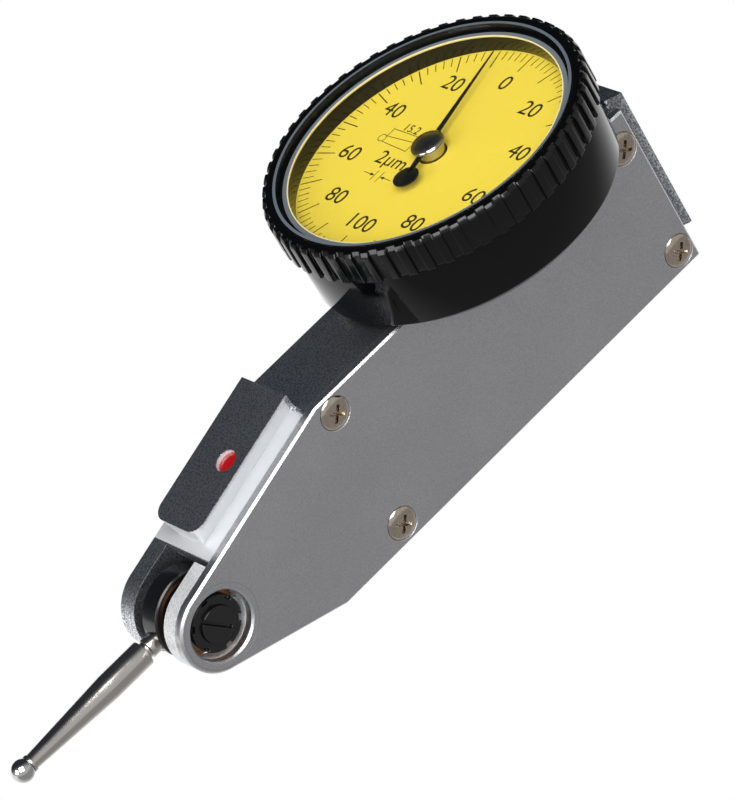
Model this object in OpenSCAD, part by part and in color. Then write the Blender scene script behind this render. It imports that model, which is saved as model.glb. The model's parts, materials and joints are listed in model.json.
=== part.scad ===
// Lever-type dial test indicator, modelled as its separate working pieces.
// Lengths are millimetres. Pieces are drawn from the stylus pivot: +X runs back
// along the body, +Y away from the side plate, +Z up towards the dial.
// The finished part is moved so that its origin is the middle of the rear
// dovetail's crest face, where a holder clamps it.

/* [Body] */
// Thickness of the body across both side faces
body_t = 8.5; // [7.1:0.1:10.2]
// Distance from the stylus pivot to the body's rear face
body_l = 53.5; // [46:0.5:64]
// Height of the flat top above the pivot
body_top = 9; // [8:0.1:10.8]
// Depth of the flat bottom below the pivot
body_bottom = 7.3; // [6.4:0.1:8.7]
// Where the sloping front meets the flat top
slope_x = 16.6; // [15:0.1:18]
// Where the sloping belly meets the flat bottom
belly_x = 10.2; // [9:0.1:12]
// Radius of the rounded nose about the pivot
nose_r = 4; // [3.9:0.05:4.4]
// Thickness of the screwed side plate
plate_t = 0.9; // [0.8:0.05:1.1]
// Width of the bright edge break around the side plate
plate_chamfer = 0.18; // [0.1:0.02:0.4]
// Thickness of the wall left round the movement pocket
wall_t = 1.5; // [1.2:0.1:1.8]

/* [Dovetails] */
// Width of each dovetail across its crest
tail_w = 6; // [5.6:0.1:6.4]
// Height of the front dovetail above the slope
front_tail_h = 2.3; // [2:0.1:2.6]
// Height of the rear dovetail behind the body
rear_tail_h = 1.4; // [1.2:0.1:1.6]
// Angle of the undercut flanks from the base
tail_angle = 60; // [55:1:70]
// Length of the front dovetail along the slope
front_tail_l = 13.4; // [12:0.1:14]

/* [Nose] */
// Width of the slot between the two ears
slot_w = 4.2; // [4.1:0.05:4.6]
// How far the slot's middle lies beyond the body's middle plane
slot_shift = 0.3; // [0.1:0.05:0.4]
// Radius of the hole round the near pivot bearing
nose_hole_r = 3; // [2.8:0.05:3.2]
// Radius of the swivel drum that carries the stylus
drum_r = 3.8; // [3.6:0.05:3.85]
// Width of the swivel drum
drum_w = 2.1; // [1.9:0.05:2.3]
// Radius of the pivot spindle
spindle_r = 0.8; // [0.7:0.02:0.95]

/* [Stylus] */
// Length of the stylus from its seat on the drum to the ball centre
stylus_l = 15.2; // [12:0.1:20]
// Radius of the contact ball
ball_r = 1; // [0.5:0.05:1.5]
// Radius of the straight part of the shank
shank_r = 1.16; // [1:0.02:1.3]

/* [Dial] */
// Distance of the dial axis in front of the body's rear face
dial_setback = 14.7; // [14.5:0.1:16]
// Outer radius of the fixed dial case
case_r = 13.8; // [12.6:0.1:14.6]
// Height of the dial case
case_h = 6.15; // [5.6:0.05:7]
// Radius over the bezel's ribs, beyond the case
bezel_step = 0.7; // [0.5:0.05:0.9]
// Height of the bezel
bezel_h = 3.15; // [2.9:0.05:3.6]
// Number of ribs round the bezel
rib_count = 56; // [40:1:64]
// Thickness of the bezel's bore wall, from the case radius
bezel_wall = 1.45; // [1.3:0.05:1.6]
// Thickness of the crystal
crystal_t = 0.65; // [0.55:0.05:0.8]
// Angle of the pointer at rest, anticlockwise from the dial's zero
pointer_angle = 16.5; // [0:0.5:90]

/* [Movement] */
// Module of the sector and the pinion it drives
sector_module = 0.12; // [0.11:0.01:0.13]
// Teeth of the full circle that the sector is cut from
sector_teeth = 120; // [100:2:130]
// Teeth of the intermediate and of the centre pinion
pinion_teeth = 12; // [10:2:14]
// Module of the crown wheel and the centre pinion
crown_module = 0.15; // [0.13:0.01:0.16]
// Teeth of the crown wheel
crown_teeth = 72; // [60:2:76]
// Length of the sector's short arm, from its arbor to the lever pin
short_arm = 2.82; // [2.4:0.02:3.2]

/* [Fits] */
// Radial running clearance of pivots and journals
run_gap = 0.03; // [0.02:0.01:0.06]
// Gap between pieces that move past each other
free_gap = 0.12; // [0.08:0.02:0.2]

/* [Hidden] */
$fn = 64;

half_t = body_t / 2;
joint_y = -half_t + plate_t;
slot_y0 = slot_shift - slot_w / 2;
slot_y1 = slot_shift + slot_w / 2;
cut = 0.5;

// Sloping front and belly lines, both tangent to the nose circle
front_a = atan2(body_top, slope_x) - asin(nose_r / norm([slope_x, body_top]));
belly_a = atan2(-body_bottom, belly_x) + asin(nose_r / norm([belly_x, body_bottom]));

// Corners of the body's side view, from the nose over the top to the belly
dip_r = nose_r - 0.01;
side_corners = [[-dip_r * sin(front_a), dip_r * cos(front_a)], [slope_x, body_top], [body_l, body_top],
                [body_l, -body_bottom], [belly_x, -body_bottom], [dip_r * sin(belly_a), -dip_r * cos(belly_a)]];

// Front dovetail, measured along the slope from the foot of the pivot's normal
slot_end_s = 3.46;
crest_end_s = 4.65;
tail_inset = 1 / tan(tail_angle);
crest_round = 1.3;

// Rear dovetail
rear_crest_top = body_top + 0.4;
rear_crest_bottom = -body_bottom + 2.2;
grip_z = (rear_crest_top + rear_crest_bottom) / 2;
grip_x = body_l + rear_tail_h;

// Plate screws: two behind the front slope, two at the rear
screw_at = [[17.9, body_top - 1.75], [17.9, 1.9 - body_bottom],
            [body_l - 1.65, body_top - 2.9], [body_l - 1.65, 1.85 - body_bottom]];
screw_r = 0.8;
screw_head_r = 1.45;
screw_sink = 0.55;
screw_l = 4;

// Swivel drum, lever and washer, stacked across the slot
// Room along the pivot beside the drum, shared by the washer and the lever arm
stack_w = slot_w - drum_w - 0.06 - free_gap;
drum_y0 = slot_y0 + 0.71875 * stack_w;
drum_y1 = drum_y0 + drum_w;
stylus_y = (drum_y0 + drum_y1) / 2;
lever_y0 = drum_y1 + 0.06;
lever_y1 = slot_y1 - free_gap;
spindle_tip = 0.5;
near_cup_y = slot_y0 - 0.15;
far_cup_y = slot_y1 + 0.35;
pivot_screw_r = 1.6;
locknut_r = 2.45;

// Stylus stations, as distances from the pivot
ball_x = -(drum_r + stylus_l);
seat_x = -(drum_r - 0.5);
neck_x = -(drum_r + 0.75);
shoulder_x = -(drum_r + 1.3);
taper_x = -(drum_r + 5.4);
tip_r = 0.69;
collar_r = 0.79;

// Dial stack
dial_x = body_l - dial_setback;
case_z = body_top;
bezel_z = case_z + case_h + 0.05;
bezel_r = case_r + bezel_step;
bezel_top = bezel_z + bezel_h;
bore_r = case_r - bezel_wall;
seat_r = bore_r + 0.85;
neck_r = seat_r - 0.05;
neck_top = bezel_z + 0.36;
dial_top = bezel_z + 0.8;
dial_t = 0.35;
crystal_z = bezel_top - crystal_t - 0.02;
pointer_z = dial_top + 0.85;
pointer_t = 0.12;
arbor_r = 0.35;
case_floor = 1.2;

// Gear train
pinion_r = sector_module * pinion_teeth / 2;
sector_r = sector_module * sector_teeth / 2;
crown_r = crown_module * crown_teeth / 2;
centre_pinion_r = crown_module * pinion_teeth / 2;
crown_pin_z = body_top - 2.1;
crown_z = crown_pin_z - crown_r;
sector_x = dial_x - sector_r - pinion_r;
lever_pin_x = sector_x - short_arm;
sector_y0 = 0.75;
sector_y1 = 1.25;
pocket_y1 = slot_y1 + 0.25;
bridge_y0 = -2.55;
bridge_y1 = -2.05;
bridge_screw_at = [[sector_x - 4, crown_z - 4.2], [dial_x + 7.4, crown_z]];
bridge_post_r = 1.1;
gear_arbor_r = 0.4;
journal_r = 0.22;
crown_face_y = -centre_pinion_r - crown_module;
lever_pin_r = 0.25;
cock_z = crown_z + 3.7;
small_screw_r = 0.5;

// Small fittings
cheek_end_s = slot_end_s - 0.36;
cheek_web_t = 0.5;
cheek_pin_r = 0.25;
cheek_pin_at = [for (a = [75, 205]) [3.5 * cos(a), 3.5 * sin(a)]];
dot_s = 11.2;
dot_y = -1.1;
dot_r = 1;
dot_depth = 0.5;
stylus_thread_r = 0.55;
stylus_head_r = 0.9;
case_screw_x = [dial_x - 8.5, dial_x + 8.5];
case_screw_r = 0.6;
dial_hole_r = 1.5;
case_wall = 1.15;
rib_depth = 0.25;
clip_z = bezel_z + 0.1;
clip_t = 0.12;
spring_z = case_z + case_floor + 1;
spring_turns = 5;
spring_r0 = 1;
spring_pitch = 0.66;

// Moves the drawing from the stylus pivot to the clamped origin
module place() {
    translate([-grip_x, 0, -grip_z]) children();
}

// A plate cut to a side-view outline, from y0 to y1
module slab(y0, y1) {
    translate([0, y1, 0]) rotate([90, 0, 0]) linear_extrude(y1 - y0) children();
}

// A round bar along Y
module ybar(x, z, r, y0, y1) {
    slab(y0, y1) translate([x, z]) circle(r);
}

// A body of revolution about the Y axis line through x, z; profile is [radius, y]
module yturn(x, z, profile) {
    translate([x, 0, z]) rotate([-90, 0, 0]) rotate_extrude() polygon(profile);
}

// Slice of the body from y0 to y1; its straight part dips a little inside the round nose, to cross it cleanly
module side_slice(y0, y1) {
    slab(y0, y1) polygon(side_corners);
    ybar(0, 0, nose_r, y0, y1);
}

// Coordinates along and above the front slope
module on_slope() {
    rotate([0, -front_a, 0]) children();
}

// Side view of the slot between the ears
module slot_outline() {
    rotate(front_a) translate([-nose_r * 3, -nose_r * 3]) square([nose_r * 3 + slot_end_s, nose_r * 6]);
    circle(drum_r + 0.35);
}

// Pocket for the movement, leaving bosses round the screws
module pocket_outline() {
    difference() {
        polygon([[8.6, -3.2], [belly_x + 1.4, wall_t - body_bottom],
                 [body_l - wall_t, wall_t - body_bottom],
                 [body_l - wall_t, body_top - wall_t],
                 [slope_x + 1.2, body_top - wall_t], [8.6, 4.6]]);
        for (p = screw_at) translate(p) circle(screw_r + 1.1);
        for (p = bridge_screw_at) translate(p) circle(bridge_post_r);
    }
}

// Cross-section of a dovetail, crest up, from its root to its crest
module tail_section(h) {
    w = tail_w / 2;
    polygon([[-w + h * tail_inset, -0.01], [w - h * tail_inset, -0.01], [w, h - 0.25], [w, h],
             [-w, h], [-w, h - 0.25]]);
}

module front_tail() {
    on_slope() translate([crest_end_s, 0, nose_r]) intersection() {
        rotate([90, 0, 90]) linear_extrude(front_tail_l) tail_section(front_tail_h);
        translate([0, 0, -1]) linear_extrude(front_tail_h + 2) {
            for (side = [-1, 1])
                translate([crest_round, side * (tail_w / 2 - crest_round)]) circle(crest_round);
            translate([0, crest_round - tail_w / 2]) square([front_tail_l, tail_w - 2 * crest_round]);
            translate([crest_round, -tail_w / 2]) square([front_tail_l, tail_w]);
        }
    }
}

module rear_tail() {
    translate([body_l, 0, rear_crest_bottom])
        multmatrix([[0, 1, 0, 0], [1, 0, 0, 0], [0, 0, 1, 0], [0, 0, 0, 1]])
            linear_extrude(rear_crest_top - rear_crest_bottom) tail_section(rear_tail_h);
}

// Outline of a wheel with straight-sided teeth: half widths are shares of the tooth pitch
function toothed(r_out, r_in, count, half_top, half_root, first, last) =
    [for (i = [first:last], k = [0:3])
        let (a = (i + [-half_root, -half_top, half_top, half_root][k]) * 360 / count,
             r = k == 1 || k == 2 ? r_out : r_in)
        [r * cos(a), r * sin(a)]];

// Gear outline for a module and a full tooth count, from tooth first to tooth last
function gear_points(m, teeth, first, last) =
    toothed(m * (teeth / 2 + 0.75), m * (teeth / 2 - 1.1), teeth, 0.12, 0.27, first, last);

// Square bar along one outer edge of the side plate, set to cut it at 45 degrees
module edge_bar(p, q) {
    side = plate_chamfer * sqrt(2);
    translate([p[0], -half_t, p[1]]) rotate([0, -atan2(q[1] - p[1], q[0] - p[0]), 0])
        rotate([45, 0, 0]) translate([-1, -side / 2, -side / 2]) cube([norm(q - p) + 2, side, side]);
}

// Side plate with its edges broken
module plate_blank() {
    difference() {
        slab(-half_t, joint_y) polygon(side_corners);
        for (i = [0:4]) edge_bar(side_corners[i], side_corners[i + 1]);
    }
    yturn(0, 0, [[0, -half_t], [nose_r - plate_chamfer, -half_t], [nose_r, plate_chamfer - half_t],
                 [nose_r, joint_y], [0, joint_y]]);
}

module body_frame() {
    color("slategray") place() difference() {
        union() {
            side_slice(joint_y, half_t);
            front_tail();
            rear_tail();
        }
        // slot between the ears; the near ear is the separate nose cheek
        slab(joint_y - cut, slot_y1) slot_outline();
        slab(joint_y - cut, pocket_y1) pocket_outline();
        slab(joint_y - cut, bridge_y1) for (p = bridge_screw_at) translate(p) circle(bridge_post_r + 0.4);
        // passage from the slot to the pocket for the lever arm
        slab(lever_y0 - 0.3, slot_y1) translate([slot_end_s - 1, -2]) square([9.6 - slot_end_s, 4]);
        ybar(0, 0, pivot_screw_r, slot_y1 - cut, half_t + cut);
        for (x = [sector_x, dial_x])
            ybar(x, crown_z, journal_r + run_gap, pocket_y1 - cut, pocket_y1 + 0.6);
        // passage for the centre arbor, then the threads of the three kinds of screw
        translate([dial_x, 0, body_top - wall_t - cut]) cylinder(r = dial_hole_r, h = wall_t + 2 * cut);
        for (p = screw_at) ybar(p[0], p[1], screw_r, joint_y - cut, joint_y + screw_l);
        for (p = bridge_screw_at)
            ybar(p[0], p[1], small_screw_r, bridge_y1 - cut, bridge_y1 + screw_l);
        for (x = case_screw_x)
            translate([x, 0, body_top - wall_t - cut]) cylinder(r = case_screw_r, h = wall_t + 2 * cut);
        on_slope() translate([dot_s, dot_y, nose_r + front_tail_h - dot_depth])
            cylinder(r = dot_r, h = dot_depth + cut);
    }
}

// Enamel dot sunk in the front dovetail's crest
module index_dot() {
    color("crimson") place() on_slope()
        translate([dot_s, dot_y, nose_r + front_tail_h - dot_depth]) cylinder(r = dot_r, h = dot_depth - 0.35);
}

module side_plate() {
    color("silver") place() difference() {
        plate_blank();
        yturn(0, 0, [[0, joint_y + cut], [0, -half_t - 0.01], [nose_hole_r + plate_chamfer, -half_t - 0.01],
                     [nose_hole_r, -half_t + plate_chamfer], [nose_hole_r, joint_y + cut]]);
        for (p = screw_at)
            yturn(p[0], p[1], [[0, joint_y + cut], [0, -half_t - 0.01], [screw_head_r + 0.1, -half_t - 0.01],
                               [screw_r + run_gap, screw_sink - half_t], [screw_r + run_gap, joint_y + cut]]);
        for (p = cheek_pin_at) ybar(p[0], p[1], cheek_pin_r, joint_y - 0.4, joint_y + cut);
    }
}

// Oval-head cross-recess screws, seated in the side plate's countersinks
module plate_screws() {
    color("gainsboro") place() for (p = screw_at) translate([p[0], 0, p[1]]) difference() {
        yturn(0, 0, [[0, -half_t - 0.3], [0.7, -half_t - 0.26], [1.2, -half_t - 0.13],
                     [screw_head_r, 0.03 - half_t], [screw_r + run_gap + 0.02, screw_sink - half_t],
                     [screw_r, screw_sink - half_t], [screw_r, joint_y + screw_l - 0.3],
                     [0, joint_y + screw_l - 0.3]]);
        for (a = [38, 128]) rotate([0, a, 0]) translate([-0.8, -half_t - 0.5, -0.15]) cube([1.6, 0.7, 0.3]);
    }
}

// Near ear of the nose, pinned to the side plate, with a spoked web for the pivot screw
module nose_cheek() {
    color("darkgray") place() difference() {
        intersection() {
            side_slice(joint_y, slot_y0);
            slab(joint_y - cut, slot_y0 + cut) rotate(front_a) translate([-nose_r * 2, -nose_r * 2])
                square([nose_r * 2 + cheek_end_s, nose_r * 4]);
        }
        slab(joint_y - cut, slot_y0 + cut) difference() {
            circle(nose_hole_r);
            circle(locknut_r);
            for (a = [-25, 65]) rotate(a) translate([0, -1]) square([nose_hole_r, 2]);
        }
        ybar(0, 0, nose_hole_r, joint_y - cut, slot_y0 - cheek_web_t);
        ybar(0, 0, pivot_screw_r, joint_y - cut, slot_y0 + cut);
        for (p = cheek_pin_at) ybar(p[0], p[1], cheek_pin_r, joint_y - cut, joint_y + 0.8);
    }
}

module cheek_pins() {
    color("gray") place() for (p = cheek_pin_at) ybar(p[0], p[1], cheek_pin_r, joint_y - 0.35, joint_y + 0.75);
}

// Slotted screw from its head at y_out to its cup at y_in, turn is the way it points
module pivot_screw(y_out, y_in, cup_y, turn) {
    cup_r = spindle_r + run_gap;
    difference() {
        ybar(0, 0, pivot_screw_r, min(y_out, y_in), max(y_out, y_in));
        yturn(0, 0, [[0, y_in + turn * 0.1], [cup_r, y_in + turn * 0.1], [cup_r, cup_y],
                     [0, cup_y - turn * (spindle_tip + run_gap)]]);
        rotate([0, 50, 0]) translate([-2, y_out - 0.45, -0.17]) cube([4, 0.9, 0.34]);
    }
}

module near_pivot_screw() {
    color("dimgray") place() pivot_screw(0.4 - half_t, slot_y0 + 0.3, near_cup_y, 1);
}

module far_pivot_screw() {
    color("dimgray") place() pivot_screw(half_t - 0.15, slot_y1 + 0.02, far_cup_y, -1);
}

module pivot_locknut() {
    color("dimgray") place() difference() {
        ybar(0, 0, locknut_r, 0.7 - half_t, slot_y0 - cheek_web_t);
        ybar(0, 0, pivot_screw_r, -half_t, slot_y0);
        for (a = [30:60:330]) rotate([0, a, 0]) translate([locknut_r - 0.3, -half_t, -0.3]) cube([1, 1.1, 0.6]);
    }
}

module pivot_spindle() {
    color("lightsteelblue") place()
        yturn(0, 0, [[0, near_cup_y - spindle_tip + run_gap], [spindle_r * 0.9, near_cup_y + 0.02],
                     [spindle_r, near_cup_y + 0.1], [spindle_r, far_cup_y - 0.1],
                     [spindle_r * 0.9, far_cup_y - 0.02], [0, far_cup_y + spindle_tip - run_gap]]);
}

module lever_arm() {
    color("lightgray") place() difference() {
        slab(lever_y0, lever_y1) {
            circle(2.4);
            polygon([[0, -1.1], [lever_pin_x, crown_z - 0.6], [lever_pin_x, crown_z + 0.6], [0, 1.1]]);
            translate([lever_pin_x, crown_z]) circle(0.6);
        }
        ybar(0, 0, spindle_r, lever_y0 - cut, lever_y1 + cut);
        ybar(lever_pin_x, crown_z, lever_pin_r, lever_y0 - cut, lever_y1 + cut);
    }
}

module lever_pin() {
    color("gray") place() ybar(lever_pin_x, crown_z, lever_pin_r, sector_y0 - 0.1, lever_y1);
}

// Bronze washer that clamps the swivel drum against the lever's hub
module clutch_washer() {
    color("peru") place() difference() {
        ybar(0, 0, nose_hole_r, slot_y0 + free_gap, drum_y0 - 0.3);
        ybar(0, 0, pivot_screw_r + free_gap, slot_y0, slot_y0 + 0.45);
        ybar(0, 0, spindle_r, slot_y0, drum_y0);
    }
}

module swivel_drum() {
    inner = spindle_r + run_gap;
    color("black") place() difference() {
        yturn(0, 0, [[inner, drum_y0 - 0.22], [2.2, drum_y0 - 0.22], [2.2, drum_y0], [drum_r - 0.15, drum_y0],
                     [drum_r, drum_y0 + 0.15], [drum_r, drum_y1 - 0.15], [drum_r - 0.15, drum_y1],
                     [inner, drum_y1]]);
        translate([seat_x, stylus_y, 0]) rotate([0, -90, 0]) cylinder(r = stylus_head_r, h = 2);
        translate([seat_x + 1.5, stylus_y, 0]) rotate([0, -90, 0]) cylinder(r = stylus_thread_r, h = 3);
    }
}

module stylus_shank() {
    color("lightgray") place() translate([0, stylus_y, 0]) rotate([0, -90, 0]) rotate_extrude()
        polygon([[0, -seat_x - 1.4], [stylus_thread_r, -seat_x - 1.4], [stylus_thread_r, -seat_x],
                 [stylus_head_r, -seat_x], [stylus_head_r, -neck_x - 0.12], [0.74, -neck_x],
                 [0.74, -shoulder_x], [shank_r - 0.06, -shoulder_x], [shank_r, 0.06 - shoulder_x],
                 [shank_r, -taper_x], [tip_r, -ball_x - ball_r], [collar_r, -ball_x - ball_r],
                 [collar_r, -ball_x - 0.7 * ball_r], [0, -ball_x - 0.7 * ball_r]]);
}

module contact_ball() {
    color("white") place() difference() {
        translate([ball_x, stylus_y, 0]) sphere(ball_r);
        translate([ball_x + 0.7 * ball_r, stylus_y - 2, -2]) cube([4, 4, 4]);
    }
}

module sector_gear() {
    color("goldenrod") place() difference() {
        slab(sector_y0, sector_y1) translate([sector_x, crown_z]) {
            circle(1);
            polygon(concat([[0, -0.5]], gear_points(sector_module, sector_teeth, -8, 8), [[0, 0.5]]));
            difference() {
                translate([-short_arm - 0.6, -0.75]) square([short_arm + 0.6, 1.5]);
                translate([-short_arm - 1, -lever_pin_r - 0.02]) square([1.9, 2 * lever_pin_r + 0.04]);
            }
        }
        ybar(sector_x, crown_z, gear_arbor_r, sector_y0 - cut, sector_y1 + cut);
    }
}

// Stepped arbor along Y between the bridge and the frame's far wall
module gear_arbor(x) {
    yturn(x, crown_z, [[0, bridge_y0 + 0.05], [journal_r, bridge_y0 + 0.05], [journal_r, bridge_y1 + 0.05],
                       [gear_arbor_r, bridge_y1 + 0.05], [gear_arbor_r, pocket_y1 - 0.05],
                       [journal_r, pocket_y1 - 0.05], [journal_r, pocket_y1 + 0.5], [0, pocket_y1 + 0.5]]);
}

module sector_arbor() {
    color("silver") place() gear_arbor(sector_x);
}

// Arbor of the crown wheel, with the first pinion cut in one with it
module crown_arbor() {
    color("silver") place() {
        gear_arbor(dial_x);
        slab(sector_y0 - 0.2, sector_y1 + 0.2) translate([dial_x, crown_z]) rotate(180 / pinion_teeth)
            polygon(gear_points(sector_module, pinion_teeth, 0, pinion_teeth - 1));
    }
}

module crown_wheel() {
    tooth_h = crown_module * 1.1;
    tooth_w = crown_module * 1.24;
    color("goldenrod") place() difference() {
        union() {
            ybar(dial_x, crown_z, crown_r + 0.5, crown_face_y - 0.5, crown_face_y);
            translate([dial_x, 0, crown_z]) for (i = [0:crown_teeth - 1]) rotate([0, i * 360 / crown_teeth, 0])
                translate([-tooth_w / 2, crown_face_y - 0.02, crown_r - 0.45])
                    cube([tooth_w, tooth_h + 0.02, 0.9]);
        }
        ybar(dial_x, crown_z, gear_arbor_r, crown_face_y - 1, crown_face_y + 1);
    }
}

module centre_arbor() {
    color("silver") place() translate([dial_x, 0, 0]) rotate_extrude()
        polygon([[0, cock_z - 0.25], [journal_r, cock_z - 0.25], [journal_r, cock_z + 0.37],
                 [arbor_r, cock_z + 0.37], [arbor_r, pointer_z + 0.3], [0, pointer_z + 0.3]]);
}

module centre_pinion() {
    color("silver") place() difference() {
        translate([dial_x, 0, crown_pin_z - 0.55]) linear_extrude(1.1) rotate(90 + 180 / pinion_teeth)
            polygon(gear_points(crown_module, pinion_teeth, 0, pinion_teeth - 1));
        translate([dial_x, 0, crown_pin_z - 1]) cylinder(r = arbor_r, h = 2);
    }
}

// Cock on the pocket's far wall that carries the foot of the centre arbor
module lower_cock() {
    color("burlywood") place() difference() {
        translate([dial_x - 1.2, -0.8, cock_z - 0.35]) cube([2.4, pocket_y1 + 0.8, 0.7]);
        translate([dial_x, 0, cock_z - 0.26]) cylinder(r = journal_r + run_gap, h = 1);
    }
}

module movement_bridge() {
    low = bridge_screw_at[0];
    color("burlywood") place() difference() {
        slab(bridge_y0, bridge_y1) {
            translate([sector_x - 1.6, crown_z - 1.6]) square([bridge_screw_at[1][0] - sector_x + 3, 3.2]);
            translate(low) rotate(atan2(crown_z - low[1], sector_x - low[0]))
                translate([0, -1.3]) square([norm([sector_x, crown_z] - low), 2.6]);
            translate(low) circle(1.3);
        }
        for (x = [sector_x, dial_x])
            ybar(x, crown_z, journal_r + run_gap, bridge_y0 - cut, bridge_y1 + cut);
        for (p = bridge_screw_at) ybar(p[0], p[1], small_screw_r, bridge_y0 - cut, bridge_y1 + cut);
    }
}

module bridge_screws() {
    color("silver") place() for (p = bridge_screw_at) difference() {
        union() {
            ybar(p[0], p[1], 0.9, bridge_y0 - 0.5, bridge_y0);
            ybar(p[0], p[1], small_screw_r, bridge_y0 - 0.1, bridge_y1 + screw_l - 0.2);
        }
        translate([p[0] - 1, bridge_y0 - 0.7, p[1] - 0.12]) cube([2, 0.4, 0.24]);
    }
}

module dial_case() {
    floor_z = case_z + case_floor;
    inner = neck_r - case_wall;
    color("black") place() difference() {
        translate([dial_x, 0, 0]) rotate_extrude()
            polygon([[dial_hole_r - 0.5, case_z], [case_r - 1.15, case_z], [case_r, case_z + 0.95],
                     [case_r, case_z + case_h], [neck_r, case_z + case_h], [neck_r, clip_z],
                     [neck_r - 0.2, clip_z], [neck_r - 0.2, clip_z + clip_t], [neck_r, clip_z + clip_t],
                     [neck_r, neck_top], [inner, neck_top], [inner, floor_z], [dial_hole_r - 0.5, floor_z]]);
        for (x = case_screw_x) translate([x, 0, case_z - cut]) cylinder(r = case_screw_r, h = 3);
    }
}

module case_screws() {
    floor_z = case_z + case_floor;
    color("silver") place() for (x = case_screw_x) difference() {
        translate([x, 0, 0]) rotate_extrude()
            polygon([[0, case_z - wall_t + 0.1], [case_screw_r, case_z - wall_t + 0.1], [case_screw_r, floor_z],
                     [1.15, floor_z], [1.15, floor_z + 0.6], [0, floor_z + 0.6]]);
        translate([x - 2, -0.15, floor_z + 0.35]) cube([4, 0.3, 1]);
    }
}

module upper_bush() {
    color("gold") place() translate([dial_x, 0, case_z]) rotate_extrude()
        polygon([[arbor_r + run_gap, 0], [dial_hole_r - 0.5, 0], [dial_hole_r - 0.5, case_floor + 0.15],
                 [arbor_r + run_gap, case_floor + 0.15]]);
}

// Spiral strip from the collet out to the stud
module hairspring() {
    turns = [for (a = [0:15:360 * spring_turns]) a];
    count = len(turns);
    function on_spiral(a, side) = (spring_r0 + spring_pitch * a / 360 + side) * [cos(a), sin(a)];
    color("steelblue") place() translate([dial_x, 0, spring_z]) linear_extrude(0.4)
        polygon(concat([for (a = turns) on_spiral(a, 0.04)],
                       [for (i = [1:count]) on_spiral(turns[count - i], -0.04)]));
}

module spring_collet() {
    color("gold") place() translate([dial_x, 0, spring_z - 0.25]) rotate_extrude()
        polygon([[arbor_r, 0], [spring_r0 - 0.1, 0], [spring_r0 - 0.1, 0.9], [arbor_r, 0.9]]);
}

module spring_stud() {
    r = spring_r0 + spring_pitch * spring_turns;
    color("gold") place() translate([dial_x + r - 0.4, 0, case_z + case_floor]) cube([0.8, 0.8, 1.8]);
}

// Split wire ring that holds the bezel on the case while letting it turn
module slip_ring() {
    color("lightgray") place() translate([dial_x, 0, clip_z]) difference() {
        cylinder(r = seat_r + 0.16, h = clip_t);
        translate([0, 0, -1]) cylinder(r = neck_r - 0.2, h = 2);
        translate([0, -0.5, -1]) cube([case_r + 1, 1, 2]);
    }
}

module bezel() {
    groove_r = seat_r + 0.2;
    ribs = toothed(bezel_r, bezel_r - rib_depth, rib_count, 0.26, 0.3, 0, rib_count - 1);
    color("dimgray") place() translate([dial_x, 0, 0]) intersection() {
        translate([0, 0, bezel_z]) linear_extrude(bezel_h) rotate(180 / rib_count) polygon(ribs);
        rotate_extrude()
            polygon([[seat_r, bezel_z], [bezel_r - 0.2, bezel_z], [bezel_r + 0.1, bezel_z + 0.3],
                     [bezel_r + 0.1, bezel_top - 0.5], [bezel_r - 0.4, bezel_top], [seat_r, bezel_top],
                     [seat_r, crystal_z], [bore_r, crystal_z], [bore_r, neck_top + 0.04],
                     [seat_r, neck_top + 0.04], [seat_r, clip_z + clip_t + run_gap],
                     [groove_r, clip_z + clip_t + run_gap], [groove_r, clip_z - run_gap],
                     [seat_r, clip_z - run_gap]]);
    }
}

module crystal() {
    color("aliceblue", 0.4) place() translate([dial_x, 0, crystal_z]) cylinder(r = seat_r, h = crystal_t);
}

module dial_plate() {
    color("gold") place() translate([dial_x, 0, dial_top - dial_t]) difference() {
        cylinder(r = bore_r, h = dial_t);
        translate([0, 0, -1]) cylinder(r = dial_hole_r - 0.2, h = 2);
    }
}

module pointer() {
    tip = 0.92 * bore_r;
    color("black") place() translate([dial_x, 0, pointer_z]) rotate(pointer_angle)
        linear_extrude(pointer_t) difference() {
            union() {
                polygon([[-3.8, -0.3], [tip - 1.2, -0.22], [tip, -0.05], [tip, 0.05], [tip - 1.2, 0.22],
                         [-3.8, 0.3]]);
                circle(1.3);
                translate([-3.8, 0]) circle(1.15);
            }
            circle(0.6);
        }
}

// Boss under the pointer and polished cap over it
module pointer_hub() {
    top = pointer_z + pointer_t;
    color("darkslategray") place() translate([dial_x, 0, 0]) rotate_extrude()
        polygon([[arbor_r, dial_top - 0.1], [1.15, dial_top - 0.1], [1.15, pointer_z], [0.6, pointer_z],
                 [0.6, top], [1.52, top], [1.5, top + 0.1], [1.3, top + 0.34], [0.9, top + 0.52],
                 [0.4, top + 0.61], [0, top + 0.63], [0, pointer_z + 0.3], [arbor_r, pointer_z + 0.3]]);
}

body_frame();
side_plate();
plate_screws();
nose_cheek();
cheek_pins();
index_dot();
near_pivot_screw();
pivot_locknut();
far_pivot_screw();
pivot_spindle();
lever_arm();
lever_pin();
clutch_washer();
swivel_drum();
stylus_shank();
contact_ball();
movement_bridge();
bridge_screws();
sector_gear();
sector_arbor();
crown_wheel();
crown_arbor();
centre_arbor();
centre_pinion();
lower_cock();
dial_case();
case_screws();
upper_bush();
hairspring();
spring_collet();
spring_stud();
slip_ring();
bezel();
crystal();
dial_plate();
pointer();
pointer_hub();
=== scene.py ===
"""Looks of the lever-type dial test indicator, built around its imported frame.

The body, nose, swivel drum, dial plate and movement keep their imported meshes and
get their finishes and broken edges here. The stylus shank and ball, enamel dot,
dial case, bezel, crystal, pointer and hub are modelled here, in metres, in the
same frame, and so is the dial's printing.
"""

import json
import logging
import math
from dataclasses import dataclass, field
from enum import Enum

import bmesh
import bpy
from mathutils import Matrix, Vector


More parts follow.
